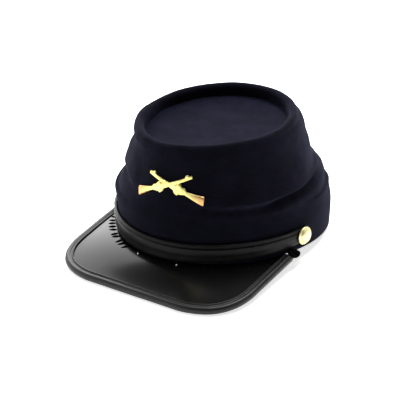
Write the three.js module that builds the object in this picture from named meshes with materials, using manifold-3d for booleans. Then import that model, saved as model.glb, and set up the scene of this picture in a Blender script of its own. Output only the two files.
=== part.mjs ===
// A kepi: a soft wool cap with a leaning, slumped crown, a sunken round top, a cloth band,
// a bound leather peak, a leather chin strap on two brass side buttons and a crossed-rifles badge.
//
// Lengths are in millimetres and angles in degrees. The cap is modelled on its band, whose lower
// edge lies in the plane z = 0 round the origin, with the front towards -Y and +Z up. Azimuth runs
// round the cap from the front (0) over the wearer's left side (+X, 90) to the back (180). At the end
// the whole cap is tipped back onto the peak's front edge and the back of the band, as it rests.
import * as THREE from "three";
import { mergeVertices } from "three/addons/utils/BufferGeometryUtils.js";
import Module from "manifold-3d";

const wasm = await Module();
wasm.setup();

// Clearance kept between pieces that touch
const seatGap = 0.3;
// How far the tools that cut holes reach past both faces
const holeOverrun = 2;

// Band: the cloth strip round the head
const bandLength = 198;
const bandWidth = 171;
const bandHeight = 34;
const bandWall = 2.8;
const bandEdgeRounding = 0.8;
const ovalTaper = 0.05;

// Crown: the cloth side and the sunken top
const clothWall = 2;
const topLength = 128;
const topWidth = 109;
const topForward = 19;
const topSide = 1.5;
const topHeight = 86;
const topTilt = 6.8;
const topSag = 1.5;
const recessDepth = 10;
const crestRadius = 4;
const crownInset = 0.5;
const foldDepth = 8;

// Peak: the leather plate and its bound edge
const peakWidth = 163;
const peakReach = 35;
const peakBow = 4;
const peakCornerRadius = 46;
const peakSlope = 9;
const peakBend = 0.35;
const peakThickness = 3;
const peakEndAzimuth = 69;
const bindingWidth = 7;
const bindingHeight = 6;
const bindingSkin = 1.2;

// Chin strap
const strapWidth = 17;
const strapThickness = 2.4;
const strapLift = 1;
const strapSideLift = 2.4;
const strapTail = 5.5;
const strapEdgeRounding = 0.7;

// Side buttons
const buttonAzimuth = 80;
const buttonDiameter = 17;
const buttonHeight = 4.2;
const buttonRimHeight = 1.4;
const shankDiameter = 2.4;

// Badge: two crossed rifles stamped from brass sheet
const rifleLength = 60;
const rifleStock = 8.4;
const rifleAngle = 16;
const rifleCrossing = 0.58;
const badgeAzimuth = 5;
const badgeLevel = 0.52;
const badgeThickness = 1.2;
const badgeRelief = 0.5;
const badgePinDiameter = 1.6;
const badgePinSpacing = 12;

// Fineness of the faceted shapes
const crownFacets = 60;
const crownRows = 16;
const crestRows = 3;
const strapFacets = 34;
const peakFacets = 36;
const buttonFacets = 20;
const badgeFacet = 6;

const radians = THREE.MathUtils.degToRad;
const lerp = THREE.MathUtils.lerp;

// The crown's side between the band (spread 0) and the crest (spread 1), at shares of its height
const crownSections = [
  { height: 0.0, spread: 0.0 },
  { height: 0.12, spread: 0.05 },
  { height: 0.3, spread: 0.25 },
  { height: 0.5, spread: 0.49 },
  { height: 0.7, spread: 0.7 },
  { height: 0.85, spread: 0.78 },
  { height: 0.94, spread: 0.89 },
  { height: 1.0, spread: 1.0 },
];

// The soft rolls and hollows of the slumped crown. Each is a ridge that runs round the cap through
// its stations: level is its share of the crown's height there, and out and down are how far it
// stands out and hangs down, as shares of foldDepth. reach is its half height as a share.
const crownFolds = [
  {
    name: "neck under the crest",
    reach: 0.12,
    stations: [
      { azimuth: -120, level: 0.86, out: -0.5, down: 0 },
      { azimuth: -59, level: 0.84, out: -0.5, down: 0 },
      { azimuth: 0, level: 0.86, out: 0, down: 0 },
      { azimuth: 60, level: 0.84, out: -0.1, down: 0 },
      { azimuth: 121, level: 0.8, out: -0.2, down: 0 },
      { azimuth: 180, level: 0.8, out: -0.8, down: 0 },
    ],
  },
  {
    name: "upper roll",
    reach: 0.13,
    stations: [
      { azimuth: -120, level: 0.56, out: -0.2, down: 0.5 },
      { azimuth: -59, level: 0.55, out: -0.05, down: 0 },
      { azimuth: 0, level: 0.4, out: 0, down: 0 },
      { azimuth: 50, level: 0.34, out: 0.2, down: 0.2 },
      { azimuth: 75, level: 0.42, out: 0.35, down: 0.45 },
      { azimuth: 121, level: 0.5, out: -0.2, down: 0.55 },
      { azimuth: 180, level: 0.5, out: -0.4, down: 0.55 },
    ],
  },
  {
    name: "waist between the rolls",
    reach: 0.08,
    stations: [
      { azimuth: -120, level: 0.34, out: -0.5, down: 0 },
      { azimuth: -59, level: 0.3, out: -0.7, down: 0 },
      { azimuth: 0, level: 0.2, out: 0, down: 0 },
      { azimuth: 50, level: 0.14, out: -0.2, down: 0 },
      { azimuth: 75, level: 0.22, out: -0.5, down: 0 },
      { azimuth: 121, level: 0.3, out: -0.6, down: 0 },
      { azimuth: 180, level: 0.37, out: -0.4, down: 0 },
    ],
  },
  {
    name: "lower roll over the band",
    reach: 0.12,
    stations: [
      { azimuth: -120, level: 0.1, out: 0.4, down: 0.1 },
      { azimuth: -59, level: 0.1, out: -0.3, down: 0.45 },
      { azimuth: 0, level: 0.1, out: 0.1, down: 0 },
      { azimuth: 60, level: 0.06, out: 0.1, down: 0 },
      { azimuth: 121, level: 0.11, out: -0.2, down: 0.3 },
      { azimuth: 180, level: 0.08, out: 0.2, down: 0.1 },
    ],
  },
];

// A rifle's outline from butt (along 0) to muzzle (along 1), as shares of its length and of the
// stock's height, up the back and down the trigger side
const rifleOutline = [
  { along: 0.0, across: 0.5 },
  { along: 0.09, across: 0.38 },
  { along: 0.18, across: 0.27 },
  { along: 0.31, across: 0.17 },
  { along: 0.37, across: 0.24 },
  { along: 0.39, across: 0.47 },
  { along: 0.43, across: 0.5 },
  { along: 0.46, across: 0.31 },
  { along: 0.55, across: 0.25 },
  { along: 0.66, across: 0.23 },
  { along: 0.77, across: 0.21 },
  { along: 0.88, across: 0.2 },
  { along: 0.895, across: 0.37 },
  { along: 0.935, across: 0.37 },
  { along: 0.955, across: 0.19 },
  { along: 1.0, across: 0.15 },
  { along: 1.0, across: -0.15 },
  { along: 0.9, across: -0.18 },
  { along: 0.79, across: -0.19 },
  { along: 0.68, across: -0.2 },
  { along: 0.58, across: -0.22 },
  { along: 0.51, across: -0.24 },
  { along: 0.475, across: -0.42 },
  { along: 0.43, across: -0.46 },
  { along: 0.38, across: -0.2 },
  { along: 0.31, across: -0.14 },
  { along: 0.21, across: -0.19 },
  { along: 0.1, across: -0.35 },
  { along: 0.0, across: -0.5 },
];

// Plan ovals

// A point of the head oval at an azimuth in radians, with its outward normal. The oval is a
// little narrower in front than behind.
function ovalPoint(azimuth, halfLength, halfWidth, taper = ovalTaper) {
  const s = Math.sin(azimuth);
  const c = Math.cos(azimuth);
  const x = halfWidth * s * (1 - taper * c);
  const y = -halfLength * c;
  const dx = halfWidth * (c * (1 - taper * c) + taper * s * s);
  const dy = halfLength * s;
  const size = Math.hypot(dx, dy);
  return { x, y, nx: dy / size, ny: -dx / size };
}

function bandPoint(azimuth, outset) {
  const p = ovalPoint(azimuth, bandLength / 2, bandWidth / 2);
  return new THREE.Vector2(p.x + p.nx * outset, p.y + p.ny * outset);
}

function bandNormal(azimuth) {
  const p = ovalPoint(azimuth, bandLength / 2, bandWidth / 2);
  return new THREE.Vector2(p.nx, p.ny);
}

// Smooth curves through tables

function hermite(a, b, slopeA, slopeB, t) {
  const t2 = t * t;
  const t3 = t2 * t;
  const byEnds = (2 * t3 - 3 * t2 + 1) * a + (3 * t2 - 2 * t3) * b;
  return byEnds + (t3 - 2 * t2 + t) * slopeA + (t3 - t2) * slopeB;
}

// A smooth curve through rows sorted by one column
function alongRows(rows, key, value, at) {
  let i = 0;
  while (i < rows.length - 2 && at > rows[i + 1][key]) i++;
  const slope = (k) => {
    const lo = rows[Math.max(k - 1, 0)];
    const hi = rows[Math.min(k + 1, rows.length - 1)];
    return (hi[value] - lo[value]) / (hi[key] - lo[key]);
  };
  const span = rows[i + 1][key] - rows[i][key];
  const t = THREE.MathUtils.clamp((at - rows[i][key]) / span, 0, 1);
  return hermite(rows[i][value], rows[i + 1][value], slope(i) * span, slope(i + 1) * span, t);
}

// A smooth closed curve through stations round the cap
function aroundCap(stations, value, azimuth) {
  const degrees = THREE.MathUtils.radToDeg(azimuth);
  const first = stations[0].azimuth;
  const at = first + THREE.MathUtils.euclideanModulo(degrees - first, 360);
  const n = stations.length;
  let i = 0;
  while (i < n - 1 && at >= stations[i + 1].azimuth) i++;
  const a = stations[i];
  const b = stations[(i + 1) % n];
  const end = i === n - 1 ? b.azimuth + 360 : b.azimuth;
  const t = (at - a.azimuth) / (end - a.azimuth);
  return lerp(a[value], b[value], (1 - Math.cos(Math.PI * t)) / 2);
}

// Crown

// A point of the sunken top's plane: an oval grown outward by an offset, at a height over the top
function topPoint(azimuth, outset, height) {
  const p = ovalPoint(azimuth, topLength / 2, topWidth / 2, 0);
  const x = p.x + p.nx * outset;
  const y = p.y + p.ny * outset;
  const tilt = radians(topTilt);
  return new THREE.Vector3(
    topSide + x,
    -topForward + y * Math.cos(tilt) - height * Math.sin(tilt),
    topHeight + y * Math.sin(tilt) + height * Math.cos(tilt),
  );
}

// The crown's outer side at a share of its height, with the folds
function crownSide(azimuth, share) {
  const normal = bandNormal(azimuth);
  const foot = bandPoint(azimuth, -crownInset);
  const low = new THREE.Vector3(foot.x, foot.y, bandHeight + seatGap);
  const high = topPoint(azimuth, 2 * crestRadius, recessDepth - crestRadius);
  const spread = alongRows(crownSections, "height", "spread", share);
  const p = new THREE.Vector3(
    lerp(low.x, high.x, spread),
    lerp(low.y, high.y, spread),
    lerp(low.z, high.z, share),
  );
  // folds leave the seams at the band and at the crest where they are
  const held = Math.min(1, share / 0.06, (1 - share) / 0.1);
  for (const fold of crownFolds) {
    const level = aroundCap(fold.stations, "level", azimuth);
    const away = (share - level) / fold.reach;
    const strength = foldDepth * held * Math.exp(-away * away);
    const out = strength * aroundCap(fold.stations, "out", azimuth);
    p.x += normal.x * out;
    p.y += normal.y * out;
    p.z -= strength * aroundCap(fold.stations, "down", azimuth);
  }
  return p;
}

// A point of the crest's rounding at a depth into its cloth, from the outer foot (turn 0) to the
// wall of the sunken top (half a turn)
function crestPoint(azimuth, turn, depth) {
  const radius = crestRadius - depth;
  return topPoint(
    azimuth,
    crestRadius + radius * Math.cos(turn),
    recessDepth - crestRadius + radius * Math.sin(turn),
  );
}

// Half the seam on the crest, as an angle of its rounding
const crestSeam = seatGap / 2 / (crestRadius - clothWall);

function crestRowsBetween(azimuth, from, to) {
  return Array.from({ length: crestRows + 1 }, (_, i) => {
    const turn = lerp(from, to, i / crestRows);
    return { outside: crestPoint(azimuth, turn, 0), inside: crestPoint(azimuth, turn, clothWall) };
  });
}

// The rows of the crown's side, from the band up to the seam on the crest
function sideRows(azimuth) {
  const outside = Array.from({ length: crownRows }, (_, i) => crownSide(azimuth, i / crownRows));
  const crest = crestRowsBetween(azimuth, 0, Math.PI / 2 - crestSeam);
  const side = outside.map((p, i) => {
    const before = outside[Math.max(i - 1, 0)];
    const after = outside[i + 1] ?? crest[0].outside;
    return { outside: p, inside: clothInside(azimuth, before, p, after) };
  });
  // the hidden inside takes every other row below the crest
  return [...side.map((row, i) => (i % 2 === 0 ? row : { outside: row.outside })), ...crest];
}

// A point of the side moved inward by the cloth's thickness, in the upright plane across the band
function clothInside(azimuth, before, p, after) {
  const normal = bandNormal(azimuth);
  const rise = after.z - before.z;
  const run = (after.x - before.x) * normal.x + (after.y - before.y) * normal.y;
  const step = clothWall / Math.hypot(rise, run);
  const height = Math.max(p.z + run * step, bandHeight + seatGap);
  return new THREE.Vector3(p.x - normal.x * rise * step, p.y - normal.y * rise * step, height);
}

// The rows of the rim, from the seam on the crest down to the sunken top
function rimRows(azimuth) {
  const foot = -clothWall - seatGap;
  return [
    ...crestRowsBetween(azimuth, Math.PI / 2 + crestSeam, Math.PI),
    { outside: topPoint(azimuth, 0, foot), inside: topPoint(azimuth, clothWall, foot) },
  ];
}

// Solids

// A closed surface through loops of equal length, joined round or capped at both ends
function loft(loops, closed) {
  const n = loops[0].length;
  const positions = loops.flat().flatMap((p) => [p.x, p.y, p.z]);
  const index = [];
  const last = closed ? loops.length : loops.length - 1;
  for (let i = 0; i < last; i++) {
    const a = i * n;
    const b = ((i + 1) % loops.length) * n;
    for (let j = 0; j < n; j++) {
      const k = (j + 1) % n;
      index.push(a + j, a + k, b + j, a + k, b + k, b + j);
    }
  }
  if (!closed) {
    for (const [start, reverse] of [
      [0, true],
      [(loops.length - 1) * n, false],
    ]) {
      for (const [p, q, r] of capTriangles(loops[start / n])) {
        index.push(start + p, start + (reverse ? r : q), start + (reverse ? q : r));
      }
    }
  }
  const geometry = new THREE.BufferGeometry();
  geometry.setAttribute("position", new THREE.Float32BufferAttribute(positions, 3));
  geometry.setIndex(index);
  return facingOut(geometry);
}

// The triangles of a flat loop, wound as the loop runs
function capTriangles(loop) {
  const centre = loop.reduce((sum, p) => sum.add(p), new THREE.Vector3()).divideScalar(loop.length);
  const normal = new THREE.Vector3();
  loop.forEach((p, i) => {
    const q = loop[(i + 1) % loop.length];
    normal.add(p.clone().sub(centre).cross(q.clone().sub(centre)));
  });
  normal.normalize();
  const right = loop[1].clone().sub(loop[0]);
  right.addScaledVector(normal, -right.dot(normal)).normalize();
  const up = normal.clone().cross(right);
  const flat = loop.map((p) => {
    const d = p.clone().sub(centre);
    return new THREE.Vector2(d.dot(right), d.dot(up));
  });
  return THREE.ShapeUtils.triangulateShape(flat, []);
}

function signedVolume(geometry) {
  const p = geometry.getAttribute("position");
  const index = geometry.index;
  const corner = (i) => new THREE.Vector3().fromBufferAttribute(p, index.getX(i));
  let sum = 0;
  for (let i = 0; i < index.count; i += 3) {
    sum += corner(i).dot(corner(i + 1).cross(corner(i + 2)));
  }
  return sum / 6;
}

function facingOut(geometry) {
  if (signedVolume(geometry) < 0) {
    const index = geometry.index.array;
    for (let i = 0; i < index.length; i += 3) [index[i + 1], index[i + 2]] = [index[i + 2], index[i + 1]];
  }
  geometry.computeVertexNormals();
  return geometry;
}

function toManifold(geometry) {
  const bare = geometry.clone();
  for (const name of ["normal", "uv"]) bare.deleteAttribute(name);
  const merged = mergeVertices(bare, 1e-4);
  return new wasm.Manifold(
    new wasm.Mesh({
      numProp: 3,
      vertProperties: merged.getAttribute("position").array,
      triVerts: new Uint32Array(merged.index.array),
    }),
  );
}

function toGeometry(solid) {
  const mesh = solid.getMesh();
  const geometry = new THREE.BufferGeometry();
  geometry.setAttribute("position", new THREE.Float32BufferAttribute(mesh.vertProperties, 3));
  geometry.setIndex(Array.from(mesh.triVerts));
  geometry.computeVertexNormals();
  return geometry;
}

// A round bar from one point to another, for shanks, pins and the holes that they pass through
function roundBar(from, to, radius, sides = 12) {
  const axis = to.clone().sub(from);
  const bar = new THREE.CylinderGeometry(radius, radius, axis.length(), sides);
  const upright = new THREE.Vector3(0, 1, 0);
  bar.applyQuaternion(new THREE.Quaternion().setFromUnitVectors(upright, axis.normalize()));
  const middle = from.clone().add(to).multiplyScalar(0.5);
  return bar.translate(middle.x, middle.y, middle.z);
}

function azimuths(count) {
  return Array.from({ length: count }, (_, i) => (2 * Math.PI * i) / count);
}

// A wall of cloth all round the cap, from the rows of its outer and inner faces at each azimuth
function clothWallGeometry(rowsAt) {
  const loops = azimuths(crownFacets).map((azimuth) => {
    const rows = rowsAt(azimuth);
    const inside = rows.filter((row) => row.inside).map((row) => row.inside);
    return [...rows.map((row) => row.outside), ...inside.reverse()];
  });
  return loft(loops, true);
}

// The sunken top: a thin oval of cloth that sags a little in the middle
function topGeometry() {
  const rings = [1, 0.9, 0.6, 0.3];
  const edge = azimuths(crownFacets).map((azimuth) => topPoint(azimuth, -seatGap, 0));
  const centre = topPoint(0, 0, 0).add(topPoint(Math.PI, 0, 0)).multiplyScalar(0.5);
  const up = new THREE.Vector3(0, -Math.sin(radians(topTilt)), Math.cos(radians(topTilt)));
  const positions = [];
  const ringOf = (share, drop) => {
    const start = positions.length / 3;
    const sag = topSag * (1 - share * share);
    for (const p of edge) {
      const q = centre.clone().lerp(p, share).addScaledVector(up, -sag - drop);
      positions.push(q.x, q.y, q.z);
    }
    return start;
  };
  const starts = [
    ...rings.map((share) => ringOf(share, 0)).reverse(),
    ...rings.map((share) => ringOf(share, clothWall)),
  ];
  const n = crownFacets;
  const index = [];
  for (let i = 0; i + 1 < starts.length; i++) {
    for (let j = 0; j < n; j++) {
      const k = (j + 1) % n;
      index.push(starts[i] + j, starts[i + 1] + j, starts[i] + k);
      index.push(starts[i] + k, starts[i + 1] + j, starts[i + 1] + k);
    }
  }
  for (const [start, drop, over] of [
    [starts[0], 0, true],
    [starts[starts.length - 1], clothWall, false],
  ]) {
    const middle = centre.clone().addScaledVector(up, -topSag - drop);
    const pole = positions.length / 3;
    positions.push(middle.x, middle.y, middle.z);
    for (let j = 0; j < n; j++) {
      const k = (j + 1) % n;
      index.push(pole, start + (over ? j : k), start + (over ? k : j));
    }
  }
  const geometry = new THREE.BufferGeometry();
  geometry.setAttribute("position", new THREE.Float32BufferAttribute(positions, 3));
  geometry.setIndex(index);
  return facingOut(geometry);
}

// Band

function bandGeometry() {
  const r = bandEdgeRounding;
  const section = [
    { out: 0, up: r },
    { out: 0, up: bandHeight / 2 },
    { out: 0, up: bandHeight - r },
    { out: -r, up: bandHeight },
    { out: r - bandWall, up: bandHeight },
    { out: -bandWall, up: bandHeight - r },
    { out: -bandWall, up: r },
    { out: r - bandWall, up: 0 },
    { out: -r, up: 0 },
  ];
  const loops = azimuths(crownFacets).map((azimuth) =>
    section.map(({ out, up }) => {
      const p = bandPoint(azimuth, out);
      return new THREE.Vector3(p.x, p.y, up);
    }),
  );
  return loft(loops, true);
}

// Peak

// The edge of the peak in plan, from the wearer's right to the left: straight sides, round
// corners and a slightly bowed front
function peakEdge() {
  const end = bandPoint(radians(peakEndAzimuth), bindingWidth + 2 * seatGap);
  const frontY = -bandLength / 2 - peakReach;
  const corner = new THREE.Vector2(peakWidth / 2, frontY + peakBow);
  const front = new THREE.Vector2(0, frontY);
  const intoCorner = end.clone().sub(corner).normalize();
  const outOfCorner = new THREE.Vector2(-1, (-2 * peakBow) / corner.x).normalize();
  const turn = Math.PI - Math.acos(THREE.MathUtils.clamp(intoCorner.dot(outOfCorner), -1, 1));
  const room = 0.8 * Math.min(corner.x, end.distanceTo(corner));
  const cut = Math.min(peakCornerRadius * Math.tan(turn / 2), room);
  const side = new THREE.LineCurve(end, corner.clone().addScaledVector(intoCorner, cut));
  const frontStart = corner.clone().addScaledVector(outOfCorner, cut);
  const bend = new THREE.QuadraticBezierCurve(side.v2, corner, frontStart);
  const bowMiddle = new THREE.Vector2(frontStart.x / 2, frontY);
  const bow = new THREE.QuadraticBezierCurve(frontStart, bowMiddle, front);
  const half = new THREE.CurvePath();
  for (const curve of [side, bend, bow]) half.add(curve);
  const left = half.getSpacedPoints(peakFacets / 2);
  const right = left.slice(0, -1).map((p) => new THREE.Vector2(-p.x, p.y));
  return [...right, ...left.reverse()];
}

const peakOutline = peakEdge();

// The peak's middle surface, from the seam under the band (reach 0) to its edge (reach 1)
function peakMiddle(station, reach) {
  const stations = peakOutline.length - 1;
  const azimuth = radians(lerp(-peakEndAzimuth, peakEndAzimuth, station / stations));
  const seam = bandPoint(azimuth, -bandWall + bandEdgeRounding);
  const edge = peakOutline[station];
  const seamHeight = -seatGap - peakThickness / 2;
  const fall = Math.tan(radians(peakSlope)) * (peakOutline[0].y - edge.y);
  const p = seam.clone().lerp(edge, reach);
  // part of the fall is straight, and part is a bend that starts and ends level
  const bent = lerp(reach, reach * reach * (3 - 2 * reach), peakBend);
  return new THREE.Vector3(p.x, p.y, lerp(seamHeight, seamHeight - fall, bent));
}

// The upward normal of the peak at its edge, and the way out across the edge
function peakEdgeFrame(station) {
  const last = peakOutline.length - 1;
  const edge = peakMiddle(station, 1);
  const along = peakMiddle(Math.min(station + 1, last), 1).sub(peakMiddle(Math.max(station - 1, 0), 1));
  const out = edge.clone().sub(peakMiddle(station, 0.85));
  along.normalize();
  out.addScaledVector(along, -out.dot(along)).normalize();
  const up = out.clone().cross(along).normalize();
  if (up.z < 0) up.negate();
  return { edge, out, up };
}

// The plate lies in the binding's slot at its edge, and curves from there to the seam
function peakGeometry() {
  const shares = [0, 0.2, 0.45, 0.75];
  const loops = peakOutline.map((_, station) => {
    const { edge, out, up } = peakEdgeFrame(station);
    const width = edge.distanceTo(peakMiddle(station, 0));
    const bound = 1 - (bindingWidth + bindingSkin) / width;
    const row = (side) => {
      const half = (side * peakThickness) / 2;
      const open = shares.map((share) => {
        const p = peakMiddle(station, share * bound);
        return p.add(new THREE.Vector3(0, 0, half));
      });
      const held = [-bindingWidth - 2 * seatGap, -bindingSkin - seatGap].map((reach) =>
        edge.clone().addScaledVector(out, reach).addScaledVector(up, half),
      );
      return [...open, ...held];
    };
    return [...row(1), ...row(-1).reverse()];
  });
  return loft(loops, false);
}

// The binding's hooked section: out across the peak's edge, up from the plate's middle. Its roll is
// given in shares of the binding's width, from the edge inward, and of half its height.
function bindingSection() {
  const half = bindingHeight / 2;
  const slot = peakThickness / 2 + seatGap;
  const roll = (inward, up) => ({ out: -inward * bindingWidth, up: up * half });
  return [
    { out: -bindingWidth, up: slot },
    roll(1.01, 0.9),
    roll(0.93, 1),
    roll(0.83, 0.9),
    roll(0.74, 0.8),
    roll(0.55, 0.97),
    roll(0.3, 1),
    roll(0.1, 0.8),
    roll(0, 0.3),
    roll(0, -0.3),
    roll(0.1, -0.8),
    roll(0.3, -1),
    roll(0.6, -0.95),
    roll(1, -0.8),
    { out: -bindingWidth, up: -slot },
    { out: -bindingSkin, up: -slot },
    { out: -bindingSkin, up: slot },
  ];
}

function bindingGeometry() {
  const section = bindingSection();
  const loops = peakOutline.map((_, station) => {
    const { edge, out, up } = peakEdgeFrame(station);
    return section.map((s) => edge.clone().addScaledVector(out, s.out).addScaledVector(up, s.up));
  });
  return loft(loops, false);
}

// Chin strap

const buttonAngle = radians(buttonAzimuth);

// The strap's lower edge rises a little towards the buttons
function strapBase(azimuth) {
  const side = Math.min(1, Math.abs(azimuth) / buttonAngle);
  return strapLift + (strapSideLift - strapLift) * side * side;
}

function strapGeometry() {
  const reach = buttonAngle + strapTail / (bandLength / 2);
  const r = strapEdgeRounding;
  const t = strapThickness;
  const section = [
    { out: 0, up: 0 },
    { out: t - r, up: 0 },
    { out: t, up: r },
    { out: t, up: strapWidth * 0.7 },
    { out: t * 0.88, up: strapWidth * 0.78 },
    { out: t, up: strapWidth * 0.86 },
    { out: t, up: strapWidth - r },
    { out: t - r, up: strapWidth },
    { out: 0, up: strapWidth },
  ];
  const loops = Array.from({ length: strapFacets + 1 }, (_, i) => {
    const azimuth = lerp(-reach, reach, i / strapFacets);
    return section.map(({ out, up }) => {
      const p = bandPoint(azimuth, out + seatGap);
      return new THREE.Vector3(p.x, p.y, strapBase(azimuth) + up);
    });
  });
  return loft(loops, false);
}

// Side buttons

// A frame on the strap at a button: centre on the strap's face and the way out
function buttonPlace(side) {
  const azimuth = side * buttonAngle;
  const normal = bandNormal(azimuth);
  const at = bandPoint(azimuth, seatGap + strapThickness);
  const centre = new THREE.Vector3(at.x, at.y, strapBase(azimuth) + strapWidth / 2);
  return { centre, out: new THREE.Vector3(normal.x, normal.y, 0) };
}

function shankEnds(side, inner, outer) {
  const { centre, out } = buttonPlace(side);
  return [centre.clone().addScaledVector(out, inner), centre.clone().addScaledVector(out, outer)];
}

const shankDepth = strapThickness + seatGap + bandWall;

function buttonGeometry(side) {
  const { centre, out } = buttonPlace(side);
  const radius = buttonDiameter / 2;
  const profile = [
    new THREE.Vector2(0, 0),
    new THREE.Vector2(radius * 0.93, 0),
    new THREE.Vector2(radius, buttonRimHeight * 0.4),
    new THREE.Vector2(radius * 0.97, buttonRimHeight),
  ];
  // the dome rises from a groove inside the rim
  const domeRadius = radius * 0.88;
  const domeFoot = buttonRimHeight * 0.8;
  const domeRows = 5;
  for (let i = 0; i < domeRows; i++) {
    const share = i / domeRows;
    const swell = Math.sin(Math.acos(1 - share));
    profile.push(new THREE.Vector2(domeRadius * (1 - share), lerp(domeFoot, buttonHeight, swell)));
  }
  profile.push(new THREE.Vector2(0, buttonHeight));
  const head = new THREE.LatheGeometry(profile, buttonFacets);
  const turn = new THREE.Quaternion().setFromUnitVectors(new THREE.Vector3(0, 1, 0), out);
  head.applyQuaternion(turn);
  const seat = centre.clone().addScaledVector(out, seatGap);
  head.translate(seat.x, seat.y, seat.z);
  const [from, to] = shankEnds(side, -shankDepth, seatGap + buttonRimHeight * 0.5);
  const shank = toManifold(roundBar(from, to, shankDiameter / 2));
  return toGeometry(toManifold(facingOut(weldedSurface(head))).add(shank));
}

// A lathe or extrusion with its vertices merged, as an indexed closed surface
function weldedSurface(geometry) {
  const bare = geometry.clone();
  for (const name of ["normal", "uv"]) bare.deleteAttribute(name);
  const merged = mergeVertices(bare, 1e-4);
  const kept = [];
  const index = merged.index.array;
  for (let i = 0; i < index.length; i += 3) {
    const [a, b, c] = [index[i], index[i + 1], index[i + 2]];
    if (a !== b && b !== c && a !== c) kept.push(a, b, c);
  }
  merged.setIndex(kept);
  return merged;
}

// The piece less the holes that the shanks pass through
function withShankHoles(geometry) {
  let solid = toManifold(geometry);
  for (const side of [-1, 1]) {
    const [from, to] = shankEnds(side, -shankDepth - holeOverrun, holeOverrun);
    solid = solid.subtract(toManifold(roundBar(from, to, shankDiameter / 2 + seatGap)));
  }
  return toGeometry(solid);
}

// Badge

// Lays a flat point of the badge (across the cap, up) and its height on the crown's front
function onCrown(across, up, height) {
  const crownRise = topPoint(0, 0, 0).z - bandHeight;
  const azimuth = radians(badgeAzimuth) + across / (bandLength / 2);
  const share = badgeLevel + up / crownRise;
  const p = crownSide(azimuth, share);
  const step = 0.01;
  const alongAzimuth = crownSide(azimuth + step, share).sub(crownSide(azimuth - step, share));
  const alongShare = crownSide(azimuth, share + step).sub(crownSide(azimuth, share - step));
  const normal = alongAzimuth.cross(alongShare).normalize();
  return p.addScaledVector(normal, height);
}

function rifleGeometry(mirror, thickness) {
  const shape = new THREE.Shape();
  const angle = radians(rifleAngle);
  rifleOutline.forEach(({ along, across }, i) => {
    const u = (along - rifleCrossing) * rifleLength;
    const w = across * rifleStock;
    const x = u * Math.cos(angle) - w * Math.sin(angle);
    const y = u * Math.sin(angle) + w * Math.cos(angle);
    if (i === 0) shape.moveTo(x, y);
    else shape.lineTo(x, y);
  });
  shape.closePath();
  const rifle = new THREE.ExtrudeGeometry(shape, { depth: thickness, bevelEnabled: false });
  return facingOut(weldedSurface(mirror ? rifle.scale(-1, 1, 1) : rifle));
}

function badgeGeometry() {
  const front = rifleGeometry(false, badgeThickness + badgeRelief);
  const rear = rifleGeometry(true, badgeThickness);
  // facets short enough to follow the crown's front when the flat badge is laid on it
  const flat = toGeometry(toManifold(rear).add(toManifold(front)).refineToLength(badgeFacet));
  const p = flat.getAttribute("position");
  for (let i = 0; i < p.count; i++) {
    const q = onCrown(p.getX(i), p.getY(i), seatGap + p.getZ(i));
    p.setXYZ(i, q.x, q.y, q.z);
  }
  let solid = toManifold(flat);
  for (const across of [-badgePinSpacing / 2, badgePinSpacing / 2]) {
    const [from, to] = badgePin(across, -clothWall, seatGap + badgeThickness / 2);
    solid = solid.add(toManifold(roundBar(from, to, badgePinDiameter / 2, 8)));
  }
  return toGeometry(solid);
}

function badgePin(across, inner, outer) {
  const drop = -Math.abs(across) * Math.tan(radians(rifleAngle));
  return [onCrown(across, drop, inner), onCrown(across, drop, outer)];
}

function crownWithPinHoles() {
  let solid = toManifold(clothWallGeometry(sideRows));
  for (const across of [-badgePinSpacing / 2, badgePinSpacing / 2]) {
    const [from, to] = badgePin(across, -clothWall - holeOverrun, holeOverrun);
    solid = solid.subtract(toManifold(roundBar(from, to, badgePinDiameter / 2 + seatGap, 8)));
  }
  return toGeometry(solid);
}

// Materials

const wool = new THREE.MeshStandardMaterial({ color: 0x16162a, roughness: 0.95, metalness: 0 });
const leather = new THREE.MeshStandardMaterial({ color: 0x0b0b0c, roughness: 0.3, metalness: 0 });
const brass = new THREE.MeshStandardMaterial({ color: 0xe3c766, roughness: 0.25, metalness: 1 });

// Assembly

const cap = new THREE.Group();

function addPiece(name, geometry, material) {
  const piece = new THREE.Mesh(geometry, material);
  piece.name = name;
  cap.add(piece);
}

addPiece("crown_side", crownWithPinHoles(), wool);
addPiece("crown_rim", clothWallGeometry(rimRows), wool);
addPiece("crown_top", topGeometry(), wool);
addPiece("band", withShankHoles(bandGeometry()), wool);
addPiece("peak", peakGeometry(), leather);
addPiece("peak_binding", bindingGeometry(), leather);
addPiece("chin_strap", withShankHoles(strapGeometry()), leather);
addPiece("button_left", buttonGeometry(1), brass);
addPiece("button_right", buttonGeometry(-1), brass);
addPiece("rifle_badge", badgeGeometry(), brass);

// At rest the cap is tipped back until the peak's front edge and the back of the band stand level,
// with the middle of its footprint at the origin.
const bandBack = new THREE.Vector2(bandLength / 2 - bandEdgeRounding, 0);
const peakFront = peakEdgeFrame(peakFacets / 2);
const peakSole = peakFront.edge.clone().addScaledVector(peakFront.up, -bindingHeight / 2);
peakSole.addScaledVector(peakFront.out, -bindingWidth * 0.3);
const restTilt = Math.atan2(bandBack.y - peakSole.z, bandBack.x - peakSole.y);
cap.rotation.x = -restTilt;

const kepi = new THREE.Group();
kepi.add(cap);
kepi.updateMatrixWorld(true);
const footprint = new THREE.Box3().setFromObject(cap, true);
const middle = footprint.getCenter(new THREE.Vector3());
cap.position.set(-middle.x, -middle.y, -footprint.min.z);

export default kepi;
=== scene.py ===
import random
from math import atan2, cos, pi, radians, sin, tan

import bpy
import numpy as np
from mathutils import Matrix, Vector, noise


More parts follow.
